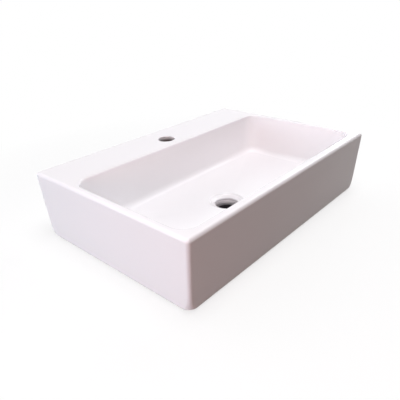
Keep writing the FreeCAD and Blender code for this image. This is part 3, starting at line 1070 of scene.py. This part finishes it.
    def cut_hollow(self, basin: bpy.types.Object) -> None:
        """Cut the hollow under the ledge out of the basin.

        Args:
            basin: the basin, whose mesh is changed.
        """
        cutter = Shell()
        fillet, steps = self.roof_fillet, self.cavity_steps
        start, roof = self.cavity_start, self.height - self.wall
        top = roof - fillet
        levels = [(start + (top - start) * step / steps, 0.0) for step in range(steps + 1)]
        for sine, cosine in quarter(steps, first=1):
            levels.append((roof - fillet * (1.0 - sine), fillet * (1.0 - cosine)))
        for height, inset in levels:
            outline = self.hollow(height).grown(-inset - self.cavity_inset)
            cutter.ring(self.cavity_weave.ring(outline), height)
        cutter.join_all()
        cutter.cap(cutter.rings[0])
        cutter.cap(cutter.rings[-1])
        tool = cutter.done("hollow_cutter")
        modifier = basin.modifiers.new("hollow", "BOOLEAN")
        modifier.operation = "DIFFERENCE"
        modifier.solver = "EXACT"
        modifier.object = tool
        apply_modifiers(basin)
        bpy.data.objects.remove(tool)


@dataclass(frozen=True)
class Turned:
    """Pieces turned about the drain's axis, in the box of the solid that they stand for."""

    low: Vector
    high: Vector
    drain: float
    sides: int = 96

    def turn(self, name: str, corners: Levels) -> bpy.types.Object:
        """Turn a piece.

        Args:
            name: the object's name.
            corners: its closed outline, as pairs of a radius and a height.

        Returns:
            The object, without a material.
        """
        shell = Shell()
        for radius, height in corners:
            shell.ring(circle(self.sides) * radius + (0.0, self.drain), height)
        shell.join_all(closed=True)
        piece = shell.done(name)
        smooth_by_area(piece)
        return piece


@dataclass(frozen=True)
class DrainRing(Turned):
    """The white ring that forms the rounded lip of the drain."""

    edge: float = 0.0045
    outer_edge: float = 0.0003
    fall: float = 0.0017
    lip: float = 0.0030
    throat: float = 0.0234
    throat_wall: float = 0.0006
    seat: float = 0.0278
    edge_steps: int = 4
    lip_steps: int = 14

    def make(self) -> bpy.types.Object:
        """Build the ring.

        Returns:
            The object, without a material.
        """
        outer, top = self.high.x, self.high.z
        corners = [(self.seat, top - self.edge), (outer, top - self.edge)]
        for sine, cosine in quarter(self.edge_steps):
            radius = outer - self.outer_edge * (1.0 - cosine)
            corners.append((radius, top - self.outer_edge * (1.0 - sine)))
        for sine, cosine in quarter(self.lip_steps):
            drop = self.fall + self.lip * (1.0 - cosine)
            corners.append((self.throat + self.lip * (1.0 - sine), top - drop))
        corners.append((self.throat, self.low.z))
        corners.append((self.throat + self.throat_wall, self.low.z))
        return self.turn("drain_lip", corners)


@dataclass(frozen=True)
class Waste(Turned):
    """The waste: a dished flange, a funnel and a tube with a pipe thread."""

    flange_edge: float = 0.0018
    dish_radius: float = 0.0278
    throat: float = 0.0225
    throat_wall: float = 0.0015
    throat_drop: float = 0.0038
    bore: float = 0.0188
    funnel: float = 0.0067
    crest: float = 0.02095
    thread_depth: float = 0.0010
    thread_steps: int = 48
    thread_sharp_degrees: float = 30.0
    ridge_foot: float = 0.46
    ridge_crest: float = 0.15
    pitch: float = 0.002309
    under_flange: float = 0.0287
    shoulder_radius: float = 0.0226
    shoulder_drop: float = 0.0071
    plain_end: float = 0.0025

    def body(self) -> bpy.types.Object:
        """Build the flange, the funnel and the tube down to the thread's root.

        Returns:
            The object, without a material.
        """
        top = self.high.z
        root = self.crest - self.thread_depth
        shoulder = top - self.shoulder_drop
        run_in = self.shoulder_radius - root
        corners = (
            (self.high.x, top - self.flange_edge),
            (self.high.x, top),
            (self.dish_radius, top),
            (self.throat + self.throat_wall, top - self.throat_drop),
            (self.throat, top - self.throat_drop),
            (self.bore, top - self.throat_drop - self.funnel),
            (self.bore, self.low.z),
            (root, self.low.z),
            (root, shoulder - run_in),
            (self.shoulder_radius, shoulder),
            (self.under_flange, top - self.flange_edge),
        )
        return self.turn("waste_tube", corners)

    def thread(self, material: bpy.types.Material) -> bpy.types.Object:
        """Wind the thread's ridge round the tube.

        Args:
            material: the ridge's finish.

        Returns:
            The ridge as a plain mesh.
        """
        ridge = new_object("waste_thread", bpy.data.meshes.new("waste_thread"))
        ridge.data.materials.append(material)
        start = self.low.z + self.plain_end
        end = self.high.z - self.shoulder_drop - self.plain_end
        values = {
            "Radius": self.crest - self.thread_depth,
            "Pitch": self.pitch,
            "Turns": (end - start) / self.pitch,
            "Ridge": self.thread_depth,
        }
        run_geometry_tree(ridge, "thread", values, self.wound)
        ridge.data.transform(Matrix.Translation((0.0, self.drain, start)))
        ridge.data.shade_smooth()
        ridge.data.set_sharp_from_angle(angle=math.radians(self.thread_sharp_degrees))
        return ridge

    def wound(self, recipe: Recipe, inputs: Mapping[str, Signal]) -> Signal:
        """Add the nodes that sweep a ridge along a helix.

        Args:
            recipe: the geometry tree.
            inputs: its inputs by name.

        Returns:
            The ridge's geometry.
        """
        radius, pitch, ridge = (inputs[name] for name in ("Radius", "Pitch", "Ridge"))
        winding = {
            "Resolution": self.thread_steps,
            "Rotations": inputs["Turns"],
            "Start Radius": radius,
            "End Radius": radius,
            "Height": inputs["Turns"] * pitch,
        }
        helix = recipe.add("GeometryNodeCurveSpiral", winding)
        upright = recipe.add("GeometryNodeSetCurveNormal", {"Curve": helix}, mode="Z_UP")
        foot = pitch * self.ridge_foot
        flat = self.ridge_crest
        corners = ((0.0, foot * -1.0), (ridge, ridge * -flat), (ridge, ridge * flat), (0.0, foot))
        points = {
            f"Point {place}": recipe.joined(out, up, 0.0)
            for place, (out, up) in enumerate(corners, start=1)
        }
        quadrilateral = "GeometryNodeCurvePrimitiveQuadrilateral"
        section = recipe.add(quadrilateral, points, mode="POINTS")
        sweep = {"Curve": upright, "Profile Curve": section, "Fill Caps": True}
        return recipe.add("GeometryNodeCurveToMesh", sweep)


@dataclass(frozen=True)
class PhotoCamera:
    """The camera that the photograph was taken with, placed about the middle of the plan."""

    azimuth: float = -47.7583
    elevation: float = 26.5948
    roll: float = 2.2035
    aside: float = 0.02557
    below: float = 0.01980
    distance: float = 0.89430
    focal_pixels: float = 423.6089
    centre_across: float = 201.5289
    centre_down: float = 199.5711
    picture: float = 400.0
    sensor: float = 36.0

    def make(self, middle: Vector) -> bpy.types.Object:
        """Place the camera.

        Args:
            middle: middle of the basin's plan, on the counter.

        Returns:
            The camera, set as the scene's own.
        """
        angles = (self.azimuth, self.elevation, self.roll)
        turn, tilt, roll = (math.radians(angle) for angle in angles)
        level = math.cos(tilt)
        back = Vector((math.sin(turn) * level, -math.cos(turn) * level, math.sin(tilt)))
        level_right = Vector((math.cos(turn), math.sin(turn), 0.0))
        level_down = (-back).cross(level_right)
        right = math.cos(roll) * level_right + math.sin(roll) * level_down
        down = -math.sin(roll) * level_right + math.cos(roll) * level_down
        place = middle - right * self.aside - down * self.below + back * self.distance
        data = bpy.data.cameras.new("photo_camera")
        data.sensor_width = self.sensor
        data.lens = self.focal_pixels / self.picture * self.sensor
        data.shift_x = (self.picture / 2 - self.centre_across) / self.picture
        data.shift_y = (self.centre_down - self.picture / 2) / self.picture
        camera = new_object("photo_camera", data)
        axes = Matrix((right, -down, back)).transposed().to_4x4()
        camera.matrix_world = Matrix.Translation(place) @ axes
        bpy.context.scene.camera = camera
        return camera


@dataclass(frozen=True)
class Lamp:
    """A square soft lamp that points at a place over the basin."""

    name: str
    place: Place
    size: float
    colour: Colour
    watts: float = 30.0

    def make(self, target: Vector) -> bpy.types.Object:
        """Hang the lamp.

        Args:
            target: the place that it points at.

        Returns:
            The lamp.
        """
        data = bpy.data.lights.new(self.name, "AREA")
        data.shape = "SQUARE"
        data.size = self.size
        data.energy = self.watts
        data.color = self.colour
        lamp = new_object(self.name, data)
        place = Vector(self.place)
        turn = (place - target).to_track_quat("Z", "Y").to_matrix().to_4x4()
        lamp.matrix_world = Matrix.Translation(place) @ turn
        return lamp


@dataclass(frozen=True)
class Studio:
    """A plain pale floor, pale surroundings and soft lamps."""

    lamps: tuple[Lamp, ...] = (
        Lamp("lamp_overhead", (0.0, -0.5, 2.0), 1.0, (0.55, 0.555, 0.56)),
        Lamp("lamp_overhead_left", (-0.5, -0.6, 1.9), 1.0, (0.28, 0.285, 0.285)),
        Lamp("lamp_right", (1.4, 0.0, 1.4), 1.2, (0.29, 0.295, 0.30)),
        Lamp("lamp_right_low", (1.6, 0.0, 0.35), 0.6, (0.18, 0.18, 0.18)),
        Lamp("lamp_left_rear", (-1.9, 0.9, 0.55), 1.0, (0.16, 0.175, 0.19)),
        Lamp("lamp_left_front", (-1.5, -1.1, 0.7), 0.8, (0.045, 0.025, 0.02)),
        Lamp("lamp_left_low", (-1.6, -0.1, 0.14), 0.24, (0.172, 0.215, 0.246)),
        Lamp("lamp_left_fill", (-1.3, -0.75, 0.35), 0.4, (0.136, 0.086, 0.083)),
    )
    ambient: Colour = (0.008, 0.003, 0.003)
    bright_wall: Colour = (1.39, 1.39, 1.43)
    floor_radius: float = 40.0
    floor_drop: float = 0.0002
    cutout: Outline = Outline(0.240, -0.318, -0.105, 0.020)
    near_radius: float = 1.0
    floor_bounce: Colour = (0.125, 0.090, 0.080)
    floor_glow: float = 0.72
    shadow_radius: float = 0.60
    shadow_softness: float = 0.36

    def make(self, middle: Vector, drain: float) -> None:
        """Lay the floor, hang the lamps and colour the surroundings.

        Args:
            middle: middle of the basin's plan, on the counter.
            drain: place of the drain along Y; the floor is open there for the waste.
        """
        for lamp in self.lamps:
            lamp.make(middle)
        sheet = Shell()
        opening = Weave().ring(self.cutout)
        centre = np.array((0.0, drain))
        outwards = (opening - centre) / np.linalg.norm(opening - centre, axis=1)[:, None]
        wider = (centre + outwards * radius for radius in (self.near_radius, self.floor_radius))
        for plan in (opening, *wider):
            sheet.ring(plan, -self.floor_drop)
        sheet.join_all()
        floor = sheet.done("floor")
        if floor.data.polygons[0].normal.z < 0.0:
            floor.data.flip_normals()
        dress(floor, self.floor_material(middle))
        self.colour_surroundings()

    @staticmethod
    def seen(recipe: Recipe) -> Signal:
        """1 where the camera, a mirror or glass looks, and 0 for other light."""
        camera, glossy, through = (
            recipe.add("ShaderNodeLightPath", output=name)
            for name in ("Is Camera Ray", "Is Glossy Ray", "Is Transmission Ray")
        )
        return camera.at_least(glossy).at_least(through)

    def floor_material(self, middle: Vector) -> bpy.types.Material:
        """Make a floor that looks white, keeps the shadow and isn't there from below.

        Args:
            middle: middle of the shadow.

        Returns:
            The material.
        """
        material = bpy.data.materials.new("pale_floor")
        recipe = Recipe.cleared(material)
        seen = self.seen(recipe)
        colour = recipe.mix(seen, self.floor_bounce, WHITE)
        matt = recipe.add("ShaderNodeBsdfDiffuse", {"Color": colour})
        glow = recipe.add("ShaderNodeEmission", {"Color": (*WHITE, 1.0), "Strength": 1.0})
        across, along, _ = recipe.parts(recipe.add("ShaderNodeTexCoord", output="Object"))
        reach = recipe.reach(across - middle.x, along - middle.y)
        far = reach.past(self.shadow_radius, self.shadow_softness)
        share = seen * (self.floor_glow + far * (1.0 - self.floor_glow))
        top = recipe.add("ShaderNodeMixShader", {0: share, 1: matt, 2: glow})
        clear = recipe.add("ShaderNodeBsdfTransparent")
        below = recipe.add("ShaderNodeNewGeometry", output="Backfacing")
        surface = recipe.add("ShaderNodeMixShader", {0: below, 1: top, 2: clear})
        recipe.add("ShaderNodeOutputMaterial", {"Surface": surface})
        return material

    def colour_surroundings(self) -> None:
        """White surroundings to look at; a dim room with a bright rear wall for falling light."""
        world = bpy.data.worlds.new("surroundings")
        recipe = Recipe.cleared(world)
        _, along, _ = recipe.parts(recipe.add("ShaderNodeTexCoord", output="Generated"))
        facing = along.at_least(0.0)
        lobe = facing * facing
        tones = zip(self.bright_wall, self.ambient)
        room = recipe.joined(*(lobe * wall + even for wall, even in tones))
        colour = recipe.mix(self.seen(recipe), room, WHITE)
        light = recipe.add("ShaderNodeBackground", {"Color": colour, "Strength": 1.0})
        recipe.add("ShaderNodeOutputWorld", {"Surface": light})
        bpy.context.scene.world = world


FINISHES: tuple[Finish, ...] = (
    BasinGlaze("white_glaze", Slot.CHINA),
    # The ring's glaze is a slightly greyer white than the basin's, darkened further as painted shade
    # for the lip's shaded slope.
    Glaze("ring_glaze", Slot.RING, (0.885, 0.850, 0.870), (0.875, 0.838, 0.860)),
    WastePlating("bright_chrome", Slot.CHROME),
    Plating("satin_chrome", Slot.NUT, roughness=0.22, clouded_roughness=0.34),
    Moulded(
        "black_rubber", Slot.RUBBER, (0.030, 0.030, 0.033), (0.055, 0.054, 0.055), 0.55, 0.75
    ),
    Moulded("washer_plastic", Slot.WASHER, (0.80, 0.80, 0.77), (0.74, 0.73, 0.70), 0.35, 0.50),
)


def dress(thing: bpy.types.Object, material: bpy.types.Material) -> None:
    """Give the whole object one material."""
    thing.data.materials.clear()
    thing.data.materials.append(material)


def place_piece(
    thing: bpy.types.Object, slot: Slot, material: bpy.types.Material, *nodes: str
) -> None:
    """Dress a piece and fix it to the frame.

    Args:
        thing: the finished piece.
        slot: its material slot; not used.
        material: that slot's material.
        nodes: the frame's nodes that it stands for.
    """
    dress(thing, material)
    if nodes:
        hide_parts(*nodes)
    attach(thing, ROOT_BODY)
    LOG.info("%s: %d faces", thing.name, len(thing.data.polygons))


def main() -> None:
    """Build the basin, its waste and the studio."""
    logging.basicConfig(level=logging.INFO)
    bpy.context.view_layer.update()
    materials = {finish.slot: finish.material() for finish in FINISHES}
    china, white, chrome = (materials[slot] for slot in (Slot.CHINA, Slot.RING, Slot.CHROME))
    basin_low, basin_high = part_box("basin")
    ring_low, ring_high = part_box("drain_ring")
    waste_low, waste_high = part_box("waste_body")
    drain = (ring_low.y + ring_high.y) / 2

    basin = Basin(basin_low, basin_high, drain).make()
    place_piece(basin, Slot.CHINA, china, "basin")
    lip = DrainRing(ring_low, ring_high, drain).make()
    place_piece(lip, Slot.RING, white, "drain_ring")
    waste = Waste(waste_low, waste_high, drain)
    place_piece(waste.body(), Slot.CHROME, chrome, "waste_body")
    place_piece(waste.thread(chrome), Slot.CHROME, chrome)

    slots = {part["node"]: Slot(part["material_slot"]) for part in frame["record"]["subparts"]}
    for name, node in sorted(frame["nodes"].items()):
        if not node.hide_render:
            dress(node, materials[slots[name]])
            LOG.info("%s: kept from the frame", name)

    middle = Vector((0.0, (basin_low.y + basin_high.y) / 2, 0.0))
    PhotoCamera().make(middle)
    Studio().make(middle, drain)
    bpy.context.scene.view_settings.view_transform = "Standard"


if __name__ == "__main__":
    main()
